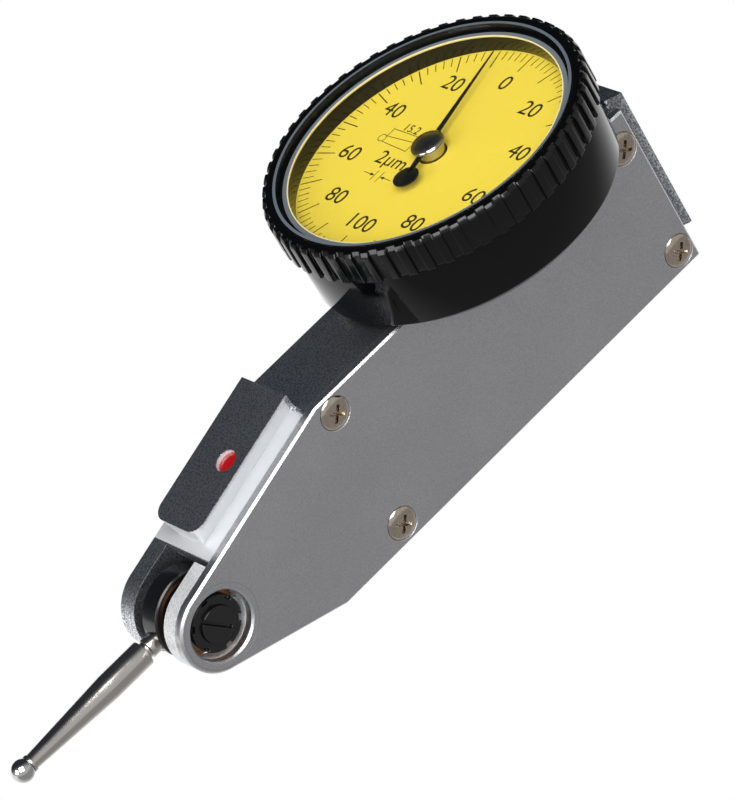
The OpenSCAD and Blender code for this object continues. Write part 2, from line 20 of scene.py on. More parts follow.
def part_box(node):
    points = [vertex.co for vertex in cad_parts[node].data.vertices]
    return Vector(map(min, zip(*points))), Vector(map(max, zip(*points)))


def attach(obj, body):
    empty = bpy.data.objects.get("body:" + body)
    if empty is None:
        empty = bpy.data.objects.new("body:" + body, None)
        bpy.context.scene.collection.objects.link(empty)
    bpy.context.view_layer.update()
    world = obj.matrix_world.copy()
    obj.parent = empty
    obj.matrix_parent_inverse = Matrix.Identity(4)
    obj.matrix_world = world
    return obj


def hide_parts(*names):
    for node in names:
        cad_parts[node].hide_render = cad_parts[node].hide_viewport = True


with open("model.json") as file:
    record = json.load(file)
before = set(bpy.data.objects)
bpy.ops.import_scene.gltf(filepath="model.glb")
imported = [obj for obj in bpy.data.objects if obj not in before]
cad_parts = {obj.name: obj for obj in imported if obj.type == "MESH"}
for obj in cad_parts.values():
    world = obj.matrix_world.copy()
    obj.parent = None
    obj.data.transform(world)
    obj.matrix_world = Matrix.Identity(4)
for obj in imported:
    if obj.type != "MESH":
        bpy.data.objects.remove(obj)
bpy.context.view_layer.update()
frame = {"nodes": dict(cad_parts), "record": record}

LOG = logging.getLogger("indicator")
MM = 0.001
# Radius and height of one step of a turned profile, in millimetres
Station = tuple[float, float]
# Where something starts and where it ends
Span = tuple[float, float]
# Angle over which an edge counts as sharp, and gets rounded
SHARP_ANGLE = 32
# Angle over which an edge with no rounding is shaded as a corner
CORNER_ANGLE = 28
# Angle under which neighbouring triangles are one flat face
FLAT_ANGLE = 0.5
# Distance under which a mesh's loose corners are one, in millimetres
WELD_MM = 0.001
# Values between which nearly all of a noise texture lies
NOISE_SPAN: Span = (0.3, 0.7)


class Axis(Enum):
    """The way a turned piece's axis points."""

    FORWARD = Matrix.Rotation(math.radians(-90), 4, "Y")
    ACROSS = Matrix.Rotation(math.radians(-90), 4, "X")


def middle(node: str) -> Vector:
    """Middle of a CAD node's box, in metres."""
    low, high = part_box(node)
    return (Vector(low) + Vector(high)) / 2


def low(node: str) -> Vector:
    """Lowest corner of a CAD node's box, in metres."""
    return Vector(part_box(node)[0])


def high(node: str) -> Vector:
    """Highest corner of a CAD node's box, in metres."""
    return Vector(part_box(node)[1])


def linear(hex_code: str) -> tuple[float, float, float, float]:
    """Turn an sRGB hex colour to linear light.

    Args:
        hex_code: Six hex digits.

    Returns:
        Red, green, blue and an alpha of one.
    """
    parts = [int(hex_code[i : i + 2], 16) / 255 for i in (0, 2, 4)]
    bright = [c / 12.92 if c <= 0.04045 else ((c + 0.055) / 1.055) ** 2.4 for c in parts]
    return (bright[0], bright[1], bright[2], 1.0)


def add_node(
    tree: bpy.types.NodeTree, kind: str, inputs: dict | None = None, **settings: object
) -> bpy.types.Node:
    """Add a node with its settings, values and links.

    Args:
        tree: The node tree.
        kind: The node's type.
        inputs: Socket name or number to a value, or to the output socket that feeds it.
        settings: The node's own properties.

    Returns:
        The new node.
    """
    node = tree.nodes.new(kind)
    for key, value in settings.items():
        setattr(node, key, value)
    for key, value in (inputs or {}).items():
        if isinstance(value, bpy.types.NodeSocket):
            tree.links.new(value, node.inputs[key])
        else:
            node.inputs[key].default_value = value
    return node


def empty_material(name: str) -> bpy.types.Material:
    """A node material with no nodes."""
    material = bpy.data.materials.new(name)
    material.use_nodes = True
    material.node_tree.nodes.clear()
    return material


def show(tree: bpy.types.NodeTree, shader: bpy.types.NodeSocket) -> None:
    """Send a shader to the material's output."""
    add_node(tree, "ShaderNodeOutputMaterial", {"Surface": shader})


def noise(
    tree: bpy.types.NodeTree, coords: bpy.types.NodeSocket, size_mm: float, **more: float
) -> bpy.types.NodeSocket:
    """Noise fixed to the piece.

    Args:
        tree: The node tree.
        coords: The piece's own coordinates.
        size_mm: Size of one patch, in millimetres.
        more: Other socket values.

    Returns:
        The noise's value.
    """
    inputs = {"Vector": coords, "Scale": 1 / (size_mm * MM), "Detail": 3.0} | more
    return add_node(tree, "ShaderNodeTexNoise", inputs).outputs["Fac"]


def remap(
    tree: bpy.types.NodeTree, value: bpy.types.NodeSocket, ends: Span, span: Span = NOISE_SPAN
) -> bpy.types.NodeSocket:
    """Stretch a value from one span to another.

    Args:
        tree: The node tree.
        value: The value.
        ends: What the span's two ends become.
        span: The span of the value.

    Returns:
        The new value.
    """
    return add_node(tree, "ShaderNodeMapRange", {
        "Value": value, "From Min": span[0], "From Max": span[1],
        "To Min": ends[0], "To Max": ends[1]}).outputs["Result"]


@dataclass(frozen=True)
class Blasted:
    """Metal with a grain all over, as bead blasting or lapping leaves it; its colour holds painted glints on
    the grain's high spots and painted shade in its pits.

    Attributes:
        name: What the material is.
        colour: Colour of the metal, bright as painted glints where the grain is high.
        shade: Painted shade, the darker colour in the pits.
        grain_mm: Size of one pit.
        relief: How strongly the pits tilt the surface.
        gloss: Roughness between pits and in them.
        cloud: Share by which broad patches differ.
        glint: Noise values over which the colour turns from the painted shade to painted glints.
        metallic: One for bare metal, less where the blasting leaves it frosted.
        cloud_mm: Size of one broad patch.
    """

    name: str
    colour: str
    shade: str
    grain_mm: float
    relief: float
    gloss: Span
    cloud: float = 0.1
    glint: Span = (0.32, 0.68)
    metallic: float = 1.0
    cloud_mm: float = 7.0

    def build(self) -> bpy.types.Material:
        """Make the material.

        Returns:
            The material.
        """
        material = empty_material(self.name)
        tree = material.node_tree
        coords = add_node(tree, "ShaderNodeTexCoord").outputs["Object"]
        grain = noise(tree, coords, self.grain_mm, Roughness=0.65)
        patch = noise(tree, coords, self.cloud_mm, Detail=2.0)
        # Painted glints and painted shade: the grain's high values take the bright colour, its low values the
        # darker shade
        sharp = remap(tree, grain, (0.0, 1.0), self.glint)
        base = add_node(tree, "ShaderNodeMix", {
            "Factor": sharp, "A": linear(self.shade), "B": linear(self.colour)}, data_type="RGBA")
        dim = remap(tree, patch, (1 - self.cloud, 1 + self.cloud))
        toned = add_node(tree, "ShaderNodeVectorMath", {
            0: base.outputs["Result"], "Scale": dim}, operation="SCALE")
        rough = remap(tree, grain, (self.gloss[1], self.gloss[0]), (0.35, 0.65))
        bump = add_node(tree, "ShaderNodeBump", {
            "Height": grain, "Strength": self.relief, "Distance": self.grain_mm * MM * 0.6})
        shader = add_node(tree, "ShaderNodeBsdfPrincipled", {
            "Base Color": toned.outputs["Vector"], "Metallic": self.metallic,
            "Roughness": rough, "Normal": bump.outputs["Normal"]})
        self.finish(tree, coords, shader)
        return material

    def finish(self, tree: bpy.types.NodeTree, coords: bpy.types.NodeSocket, shader: bpy.types.Node) -> None:
        """Send the shader out, for a finish that is the same all over."""
        show(tree, shader.outputs["BSDF"])


@dataclass(frozen=True)
class MilledBlasted(Blasted):
    """Blasted metal whose dovetail is milled afterwards, so its flanks and flats are frosted, and painted
    pale as painted reflection of the bright light they mirror.

    Attributes:
        slope: Direction square to the dovetail's crest.
        crest: Height of the crest along that direction, in millimetres.
        root: Height of the flats, in millimetres.
        reach: Distance along the crest, from and to, in millimetres.
        pale: Colour of the milled metal, pale as painted reflection.
        root_gap: How far below the flats the milled metal still shows, in millimetres.
        crest_gap: How far below the crest it stops.
        end_gap: How far past each end it still shows.
        blend: Half the width over which it fades.
    """

    slope: tuple[float, float, float] = (0.0, 0.0, 1.0)
    crest: float = 0.0
    root: float = 0.0
    reach: Span = (0.0, 0.0)
    pale: str = "dcdee0"
    root_gap: float = 0.06
    crest_gap: float = 0.07
    end_gap: float = 0.02
    blend: float = 0.02

    def finish(self, tree: bpy.types.NodeTree, coords: bpy.types.NodeSocket, shader: bpy.types.Node) -> None:
        """Mix in the milled metal, painted pale as painted reflection, between the flats and the crest.

        Args:
            tree: The material's node tree.
            coords: The piece's own coordinates.
            shader: The blasted metal.
        """
        up = Vector(self.slope)
        along = Vector((up.z, 0, -up.x))
        limits = ((up, self.root - self.root_gap, 1), (up, self.crest - self.crest_gap, -1),
                  (along, self.reach[0] - self.end_gap, 1), (along, self.reach[1] + self.end_gap, -1))
        sheen_zone = None
        for way, limit, side in limits:
            place = add_node(tree, "ShaderNodeVectorMath", {0: coords, 1: way}, operation="DOT_PRODUCT")
            step = remap(tree, place.outputs["Value"], (0.0, 1.0),
                         ((limit - side * self.blend) * MM, (limit + side * self.blend) * MM))
            if sheen_zone is None:
                sheen_zone = step
            else:
                sheen_zone = add_node(tree, "ShaderNodeMath", {0: sheen_zone, 1: step},
                                operation="MULTIPLY").outputs["Value"]
        marks = noise(tree, coords, 0.12)
        bump = add_node(tree, "ShaderNodeBump", {
            "Height": marks, "Strength": 0.25, "Distance": 0.02 * MM})
        # Painted reflection: the milled metal is pale and less metallic, so its flanks and flats look lit
        # whatever they mirror
        milled = add_node(tree, "ShaderNodeBsdfPrincipled", {
            "Base Color": linear(self.pale), "Metallic": 0.6, "Roughness": 0.4,
            "Normal": bump.outputs["Normal"]})
        both = add_node(tree, "ShaderNodeMixShader", {
            0: sheen_zone, 1: shader.outputs["BSDF"], 2: milled.outputs["BSDF"]})
        show(tree, both.outputs["Shader"])


@dataclass(frozen=True)
class Turned:
    """Metal or black coating with fine rings left by turning or grinding.

    Attributes:
        name: What the material is.
        colour: Colour of the surface.
        roughness: Mean roughness.
        metallic: One for bare metal, zero for a coating.
        ring_mm: Width of one ring.
        along: The axis of the rings, as a direction.
        relief: How strongly the rings tilt the surface.
        coat: Weight of a clear layer.
        specular: Strength of a coating's mirror reflection.
    """

    name: str
    colour: str
    roughness: float
    metallic: float
    ring_mm: float
    along: tuple[float, float, float]
    relief: float
    coat: float = 0.0
    specular: float = 0.5

    def build(self) -> bpy.types.Material:
        """Make the material.

        Returns:
            The material.
        """
        material = empty_material(self.name)
        tree = material.node_tree
        coords = add_node(tree, "ShaderNodeTexCoord").outputs["Object"]
        place = add_node(tree, "ShaderNodeVectorMath", {0: coords, 1: self.along}, operation="DOT_PRODUCT")
        rings = add_node(tree, "ShaderNodeTexNoise", {
            "W": place.outputs["Value"], "Scale": 1 / (self.ring_mm * MM), "Detail": 2.0},
            noise_dimensions="1D")
        smear = noise(tree, coords, 2.5)
        rough = remap(tree, smear, (self.roughness * 0.8, self.roughness * 1.25))
        bump = add_node(tree, "ShaderNodeBump", {
            "Height": rings.outputs["Fac"], "Strength": self.relief, "Distance": 0.01 * MM})
        shader = add_node(tree, "ShaderNodeBsdfPrincipled", {
            "Base Color": linear(self.colour), "Metallic": self.metallic,
            "Roughness": rough, "Normal": bump.outputs["Normal"],
            "Coat Weight": self.coat, "Coat Roughness": 0.04,
            "Specular IOR Level": self.specular})
        show(tree, shader.outputs["BSDF"])
        return material


@dataclass(frozen=True)
class Painted:
    """Printed, enamelled or moulded surface with a faint unevenness.

    Attributes:
        name: What the material is.
        colour: Colour of the surface.
        roughness: Mean roughness.
        speck_mm: Size of the unevenness.
        relief: How strongly it tilts the surface.
        tint: Share by which the colour varies.
        specular: Strength of the mirror reflection.
    """

    name: str
    colour: str
    roughness: float
    speck_mm: float
    relief: float
    tint: float
    specular: float = 0.5

    def build(self) -> bpy.types.Material:
        """Make the material.

        Returns:
            The material.
        """
        material = empty_material(self.name)
        tree = material.node_tree
        coords = add_node(tree, "ShaderNodeTexCoord").outputs["Object"]
        speck = noise(tree, coords, self.speck_mm)
        dim = remap(tree, speck, (1 - self.tint, 1 + self.tint))
        toned = add_node(tree, "ShaderNodeVectorMath", {
            0: linear(self.colour)[:3], "Scale": dim}, operation="SCALE")
        bump = add_node(tree, "ShaderNodeBump", {
            "Height": speck, "Strength": self.relief, "Distance": 0.01 * MM})
        shader = add_node(tree, "ShaderNodeBsdfPrincipled", {
            "Base Color": toned.outputs["Vector"], "Roughness": self.roughness, "IOR": 1.5,
            "Specular IOR Level": self.specular,
            "Normal": bump.outputs["Normal"]})
        show(tree, shader.outputs["BSDF"])
        return material


@dataclass(frozen=True)
class Clear:
    """Clear acrylic crystal: it shows what is behind it, with a surface reflection.

    Attributes:
        name: What the material is.
        ior: Refractive index of acrylic.
        haze: Roughness of its polished faces.
    """

    name: str
    ior: float = 1.49
    haze: float = 0.03

    def build(self) -> bpy.types.Material:
        """Make the material.

        Returns:
            The material.
        """
        material = empty_material(self.name)
        tree = material.node_tree
        coords = add_node(tree, "ShaderNodeTexCoord").outputs["Object"]
        wipe = noise(tree, coords, 3)
        haze = remap(tree, wipe, (self.haze * 0.5, self.haze * 1.5), (0.0, 1.0))
        facing = add_node(tree, "ShaderNodeLayerWeight", {"Blend": 0.5})
        steep = add_node(tree, "ShaderNodeMath", {0: facing.outputs["Facing"], 1: 5.0}, operation="POWER")
        straight = ((self.ior - 1) / (self.ior + 1)) ** 2
        edge = add_node(tree, "ShaderNodeMapRange", {"Value": steep.outputs["Value"], "To Min": straight})
        through = add_node(tree, "ShaderNodeBsdfTransparent", {"Color": (0.985, 0.99, 0.985, 1)})
        mirror = add_node(tree, "ShaderNodeBsdfGlossy", {"Roughness": haze})
        both = add_node(tree, "ShaderNodeMixShader", {
            0: edge.outputs["Result"], 1: through.outputs["BSDF"], 2: mirror.outputs["BSDF"]})
        show(tree, both.outputs["Shader"])
        return material


# Bead-blasted satin chrome: pits of a tenth of a millimetre, with painted glints on them one by one and
# painted shade between
BLASTED_CHROME = Blasted(
    "satin_chrome_bead_blasted", colour="f2f2f2", shade="a8aaad", grain_mm=0.13, relief=0.5,
    gloss=(0.24, 0.45), cloud=0.08, glint=(0.36, 0.66), metallic=0.4)
# Lapped satin chrome: a finer and shallower grain, so the flat side looks even
LAPPED_CHROME = Blasted(
    "satin_chrome_lapped", colour="cfcfd2", shade="b0b0b4", grain_mm=0.1, relief=0.3,
    gloss=(0.28, 0.42), cloud=0.04)
# Nickel-plated screw steel, warm, with the fine rings of its turned head
NICKEL = Blasted(
    "nickel_plated_screw_steel", colour="c2b6a8", shade="aea293", grain_mm=0.3, relief=0.06,
    gloss=(0.1, 0.2))
# Ground and polished tool steel: rings across the shank stretch each reflection along it
POLISHED_STEEL = Turned(
    "ground_tool_steel", colour="c6c2bd", roughness=0.17, metallic=1.0, ring_mm=0.05, along=(1, 0, 0),
    relief=0.25)
# Polished carbide: nearly a mirror
CARBIDE = Turned(
    "polished_carbide", colour="c9c9c8", roughness=0.05, metallic=1.0, ring_mm=0.2, along=(1, 0, 0),
    relief=0.02)
# Blackened steel: an oiled oxide skin, dark and glossy
BLACKENED = Turned(
    "blackened_steel_oiled", colour="0c0c0e", roughness=0.2, metallic=0.0, ring_mm=0.05,
    along=(0, 1, 0), relief=0.08)
# Phosphor bronze, turned: warm, with visible rings
BRONZE = Turned(
    "phosphor_bronze_turned", colour="b9805a", roughness=0.34, metallic=1.0, ring_mm=0.06,
    along=(0, 1, 0), relief=0.4)
# Movement brass, grained
BRASS = Turned(
    "movement_brass_grained", colour="cfa75a", roughness=0.32, metallic=1.0, ring_mm=0.06,
    along=(1, 0, 0.3), relief=0.3)
# Hardened arbor steel, ground
ARBOR_STEEL = Turned(
    "arbor_steel_ground", colour="b4b4b2", roughness=0.22, metallic=1.0, ring_mm=0.05, along=(0, 0, 1),
    relief=0.2)
# Blued spring steel
BLUED = Turned(
    "spring_steel_blued", colour="26386b", roughness=0.25, metallic=1.0, ring_mm=0.08, along=(0, 0, 1),
    relief=0.1)
# Black anodised and clear-lacquered case, turned: deep gloss with faint rings round it
GLOSS_BLACK = Turned(
    "black_anodised_lacquered", colour="020203", roughness=0.06, metallic=0.0, ring_mm=0.09,
    along=(0, 0, 1), relief=0.04, coat=0.0, specular=0.28)
# Black moulded bezel, half gloss
BEZEL_BLACK = Painted(
    "black_bezel_moulded", colour="030303", roughness=0.15, speck_mm=0.4, relief=0.1, tint=0.1,
    specular=0.34)
# Dial paint, matte print on metal
DIAL_YELLOW = Painted(
    "dial_paint_yellow", colour="f3d84a", roughness=0.5, speck_mm=0.25, relief=0.08, tint=0.02)
# Printing ink, a raised film of dark pigment
DIAL_INK = Painted(
    "dial_ink_dark", colour="2b2812", roughness=0.45, speck_mm=0.15, relief=0.05, tint=0.1)
# Enamel fill, glossy and a little lumpy where it pooled
RED_ENAMEL = Painted(
    "enamel_red", colour="8c0e10", roughness=0.12, speck_mm=0.5, relief=0.8, tint=0.15)
# Pointer paint, black
POINTER_BLACK = Painted(
    "pointer_paint_black", colour="0a0a09", roughness=0.35, speck_mm=0.2, relief=0.05, tint=0.05)
# Polished hub cap
HUB_METAL = Turned(
    "hub_cap_polished", colour="b3aea6", roughness=0.07, metallic=1.0, ring_mm=0.1, along=(0, 0, 1),
    relief=0.03)
# Acrylic crystal
ACRYLIC = Clear("crystal_acrylic")
# Painted highlight: a pale cream ring round the edge of the dial, under the crystal, standing in for the
# bright line along the crystal's inner edge
CRYSTAL_EDGE_HIGHLIGHT = Painted(
    "crystal_edge_painted_highlight", colour="e9dcae", roughness=0.5, speck_mm=0.2, relief=0.05, tint=0.03)

# Painted highlight: a thin grey ring standing in for the light caught on the bezel's inner chamfer
CHAMFER_HIGHLIGHT_GREY = Turned(
    "bezel_edge_painted_highlight", colour="77818c", roughness=0.35, metallic=0.5, ring_mm=0.05, along=(0, 0, 1),
    relief=0.1)
# Ground seat of the crystal, frosted grey
RIM_GREY = Painted(
    "crystal_seat_ground", colour="6b7278", roughness=0.45, speck_mm=0.1, relief=0.2, tint=0.05)

Finish = Blasted | Turned | Painted | Clear
_built: dict[str, bpy.types.Material] = {}


def material_of(finish: Finish) -> bpy.types.Material:
    """The finish's material, made once.

    Args:
        finish: The finish.

    Returns:
        Its material.
    """
    if finish.name not in _built:
        _built[finish.name] = finish.build()
    return _built[finish.name]


def deselect_all() -> None:
    """Leave object mode with nothing selected."""
    if bpy.context.object and bpy.context.object.mode != "OBJECT":
        bpy.ops.object.mode_set(mode="OBJECT")
    bpy.ops.object.select_all(action="DESELECT")


def make_active(obj: bpy.types.Object) -> None:
    """Select one object only and make it active."""
    deselect_all()
    obj.select_set(True)
    bpy.context.view_layer.objects.active = obj


def new_piece(name: str) -> bpy.types.Object:
    """Name the primitive that was just added.

    Args:
        name: The name, for the object and its mesh.

    Returns:
        The object.
    """
    obj = bpy.context.object
    obj.name = name
    obj.data.name = name
    return obj


def settle(obj: bpy.types.Object, place: Matrix) -> bpy.types.Object:
    """Move a piece and bake its place into its mesh.

    Args:
        obj: The piece.
        place: Where it goes.

    Returns:
        The piece, its object at the origin.
    """
    make_active(obj)
    obj.matrix_world = place @ obj.matrix_world
    bpy.ops.object.transform_apply(location=True, rotation=True, scale=True)
    return obj


def apply_modifier(obj: bpy.types.Object, kind: str, **settings: object) -> None:
    """Add a modifier and apply it.

    Args:
        obj: The piece.
        kind: The modifier's type.
        settings: Its settings.
    """
    make_active(obj)
    modifier = obj.modifiers.new(kind.lower(), kind)
    for key, value in settings.items():
        setattr(modifier, key, value)
    bpy.ops.object.modifier_apply(modifier=modifier.name)


def round_edges(obj: bpy.types.Object, width_mm: float, angle: float = SHARP_ANGLE) -> None:
    """Round a piece's sharp edges, then shade it smooth across shallow ones.

    Args:
        obj: The piece.
        width_mm: Width of the rounding, or zero for none.
        angle: Angle over which an edge is sharp, in degrees.
    """
    if width_mm:
        apply_modifier(obj, "BEVEL", width=width_mm * MM, segments=2, limit_method="ANGLE",
                       angle_limit=math.radians(angle), use_clamp_overlap=True)
    make_active(obj)
    bpy.ops.object.shade_smooth_by_angle(angle=math.radians(angle))


def face_out(obj: bpy.types.Object) -> None:
    """Merge doubles and point every face outwards."""
    make_active(obj)
    bpy.ops.object.mode_set(mode="EDIT")
    bpy.ops.mesh.select_all(action="SELECT")
    bpy.ops.mesh.remove_doubles(threshold=0.0005 * MM)
    bpy.ops.mesh.normals_make_consistent(inside=False)
    bpy.ops.object.mode_set(mode="OBJECT")


def turn(name: str, stations: list[Station], segments: int = 128, closed: bool = False) -> bpy.types.Object:
    """Turn a piece about Z by drawing a circle out from station to station.

    Args:
        name: The piece's name.
        stations: Radius and height at each step of the profile, in millimetres.
        segments: Sides of the circle.
        closed: True for a ring, whose last station joins the first; otherwise the ends are capped.

    Returns:
        The new piece, standing on the Z axis.
    """
    deselect_all()
    radius, height = stations[0]
    bpy.ops.mesh.primitive_circle_add(vertices=segments, radius=radius * MM, location=(0, 0, height * MM))
    obj = new_piece(name)
    bpy.ops.object.transform_apply(location=True)
    bpy.ops.object.mode_set(mode="EDIT")
    bpy.ops.mesh.select_mode(type="EDGE")
    bpy.ops.mesh.select_all(action="SELECT")
    for wide, tall in stations[1:]:
        bpy.ops.mesh.extrude_region_move(TRANSFORM_OT_translate={"value": (0, 0, (tall - height) * MM)})
        if wide != radius:
            ratio = wide / radius
            bpy.ops.transform.resize(value=(ratio, ratio, 1), center_override=(0, 0, tall * MM))
        radius, height = wide, tall
    if closed:
        bpy.ops.mesh.select_all(action="DESELECT")
        bpy.ops.mesh.select_non_manifold(extend=False)
        bpy.ops.mesh.bridge_edge_loops()
    else:
        bpy.ops.mesh.edge_face_add()
        bpy.ops.mesh.select_all(action="DESELECT")
        bpy.ops.mesh.select_non_manifold(extend=False)
        bpy.ops.mesh.edge_face_add()
    bpy.ops.object.mode_set(mode="OBJECT")
    face_out(obj)
    return obj


def block(name: str, size: tuple[float, float, float], place: tuple[float, float, float]) -> bpy.types.Object:
    """A box to cut a flat part from.

    Args:
        name: The part's name.
        size: Its size along X, Y and Z, in millimetres.
        place: Its middle, in millimetres.

    Returns:
        The box.
    """
    deselect_all()
    bpy.ops.mesh.primitive_cube_add(size=1, location=[v * MM for v in place])
    obj = new_piece(name)
    obj.scale = [v * MM for v in size]
    bpy.ops.object.transform_apply(location=True, rotation=True, scale=True)
    return obj


def own_copy(pattern: bpy.types.Object) -> bpy.types.Object:
    """Copy a part that is needed more than once.

    Args:
        pattern: The part, which stays as it is.

    Returns:
        The copy, with a mesh of its own.
    """
    copy = pattern.copy()
    copy.data = pattern.data.copy()
    bpy.context.scene.collection.objects.link(copy)
    return copy


def discard(*patterns: bpy.types.Object) -> None:
    """Take away patterns whose copies are in place."""
    for pattern in patterns:
        bpy.data.objects.remove(pattern)


def join(name: str, parts: list[bpy.types.Object]) -> bpy.types.Object:
    """Join parts into one piece.

    Args:
        name: The piece's name.
        parts: Its parts.

    Returns:
        The piece.
    """
    deselect_all()
    for part in parts:
        part.select_set(True)
    bpy.context.view_layer.objects.active = parts[0]
    bpy.ops.object.join()
    return new_piece(name)


def lettering(text: str, height_mm: float, thick_mm: float) -> bpy.types.Object:
    """Raised figures, centred on the origin.

    Args:
        text: What they say.
        height_mm: Height of a figure.
        thick_mm: Thickness of the ink.

    Returns:
        The figures as a mesh.
    """
    deselect_all()
    bpy.ops.object.text_add()
    obj = bpy.context.object
    obj.data.body = text
    obj.data.align_x = "CENTER"
    obj.data.align_y = "CENTER"
    obj.data.size = height_mm * MM / 0.72
    obj.data.extrude = thick_mm * MM / 2
    bpy.ops.object.convert(target="MESH")
    return bpy.context.object


def hand_in(obj: bpy.types.Object, body: str, slot: str, finish: Finish, *replaced: str) -> bpy.types.Object:
    """Dress a finished piece, set it on its body and report it.

    Args:
        obj: The piece, its place already in its mesh.
        body: The body that it moves with.
        slot: The record's material slot; not used.
        finish: Its finish.
        replaced: CAD nodes that it stands for.

    Returns:
        The piece.
    """
    obj.data.materials.clear()
    obj.data.materials.append(material_of(finish))
    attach(obj, body)
    if replaced:
        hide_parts(*replaced)
    LOG.info("piece %s: %d faces on %s", obj.name, len(obj.data.polygons), body)
    return obj


def dress(node: str, finish: Finish, edge_mm: float = 0.0) -> None:
    """Finish a CAD node: merge its loose triangles, break its edges and set its material.

    Args:
        node: The node's name.
        finish: Its finish.
        edge_mm: Width of its broken edges, or zero for none.
    """
    obj = frame["nodes"][node]
    obj.data.materials.clear()
    obj.data.materials.append(material_of(finish))
    make_active(obj)
    bpy.ops.object.shade_smooth()
    weld = obj.modifiers.new("weld", "WELD")
    weld.merge_threshold = WELD_MM * MM
    flats = obj.modifiers.new("flats", "DECIMATE")
    flats.decimate_type = "DISSOLVE"
    flats.angle_limit = math.radians(FLAT_ANGLE)
    if edge_mm:
        bevel = obj.modifiers.new("edges", "BEVEL")
        bevel.width = edge_mm * MM
        bevel.segments = 2
        bevel.limit_method = "ANGLE"
        bevel.angle_limit = math.radians(SHARP_ANGLE)
        bevel.harden_normals = True
        even = obj.modifiers.new("even", "WEIGHTED_NORMAL")
        even.keep_sharp = True
        even.weight = 100
    else:
        sharp = obj.modifiers.new("corners", "EDGE_SPLIT")
        sharp.split_angle = math.radians(CORNER_ANGLE)
    LOG.info("dressed %s", node)


@dataclass
class Housing:
    """Frame, side plate, cheek and the screws that hold them.

    Attributes:
        edge_mm: Width of the frame's broken edges.
        screw_edge_mm: Width of the screws' broken edges.
        dot_sunk: Depth of the enamel's middle below the crest.
        tail_h: Height of the front dovetail.
        tail_front: Distance from the dot to the front end of the milling.
        tail_back: Distance from the dot to its back end.
        dot_drop: How far the enamel starts below the node's middle.
        scribe_r: Inner radius of the scribed ring.
        scribe_w: Width of its line.
        scribe_h: Thickness of the bright line.
    """

    edge_mm: float = 0.09
    screw_edge_mm: float = 0.04
    dot_sunk: float = 0.425
    tail_h: float = 2.3
    tail_front: float = 7.6
    tail_back: float = 6.4
    dot_drop: float = 0.075
    scribe_r: float = 3.62
    scribe_w: float = 0.06
    scribe_h: float = 0.008

    def dress(self) -> None:
        """Give the CAD nodes their finishes."""
        dress("body_frame", self.frame_finish(), self.edge_mm)
        dress("nose_cheek", BLASTED_CHROME, self.edge_mm)
        dress("side_plate", LAPPED_CHROME, 0.05)
        dress("plate_screws", NICKEL, self.screw_edge_mm)
        dress("cheek_pins", ARBOR_STEEL)
        for node in ("near_pivot_screw", "pivot_locknut", "far_pivot_screw"):
            dress(node, BLACKENED, 0.06)

    def build(self) -> None:
        """Model the enamel dot, which stands a little domed in its recess."""
        size = high("index_dot") - low("index_dot")
        radius = size.y / 2 / MM
        dot = turn("enamel_dot", [(radius, 0), (radius, 0.1), (radius * 0.9, 0.14), (radius * 0.6, 0.18),
                                  (radius * 0.2, 0.2)], 64)
        round_edges(dot, 0.0, angle=60)
        settle(dot, Matrix.Translation(middle("index_dot")) @ Matrix.Rotation(-self.slope(), 4, "Y")
               @ Matrix.Translation((0, 0, -self.dot_drop * MM)))
        hand_in(dot, "housing", "red_enamel", RED_ENAMEL, "index_dot")

    def scribe(self) -> None:
        """The fine bright ring scribed round the pivot hole."""
        pivot = middle("swivel_drum")
        inner, outer, thick = self.scribe_r, self.scribe_r + self.scribe_w, self.scribe_h
        ring = turn("pivot_scribed_ring", [(inner, 0), (outer, 0), (outer, thick), (inner, thick)],
                    160, closed=True)
        round_edges(ring, 0.0)
        face = low("side_plate").y - thick / 2 * MM
        settle(ring, Matrix.Translation((pivot.x, face, pivot.z)) @ Axis.ACROSS.value)
        hand_in(ring, "housing", "satin_chrome", ARBOR_STEEL)

    def frame_finish(self) -> Blasted:
        """The blasted finish, with white painted glints, and with the milled strip round the front dovetail
        painted pale as painted reflection.

        Returns:
            The frame's finish.
        """
        up = self.crest_way().normalized()
        crest = up.dot(middle("index_dot")) / MM + self.dot_sunk
        along = Vector((up.z, 0, -up.x)).dot(middle("index_dot")) / MM
        # White painted glints on a grey painted shade; the milled strip is painted pale as painted reflection
        return MilledBlasted(
            "satin_chrome_blasted_milled_painted_sheen", colour="ffffff", shade="858b95", grain_mm=0.16, relief=0.3,
            gloss=(0.25, 0.42), cloud=0.06, glint=(0.42, 0.62), metallic=1.0, slope=tuple(up), crest=crest,
            root=crest - self.tail_h, reach=(along - self.tail_front, along + self.tail_back))

    def crest_way(self) -> Vector:
        """Direction square to the front dovetail's crest, from its mount."""
        return Vector(next(m["axis"] for m in frame["record"]["mounts"] if m["name"] == "front_dovetail"))

    def slope(self) -> float:
        """Angle of the front dovetail's crest."""
        return math.atan2(-self.crest_way().x, self.crest_way().z)


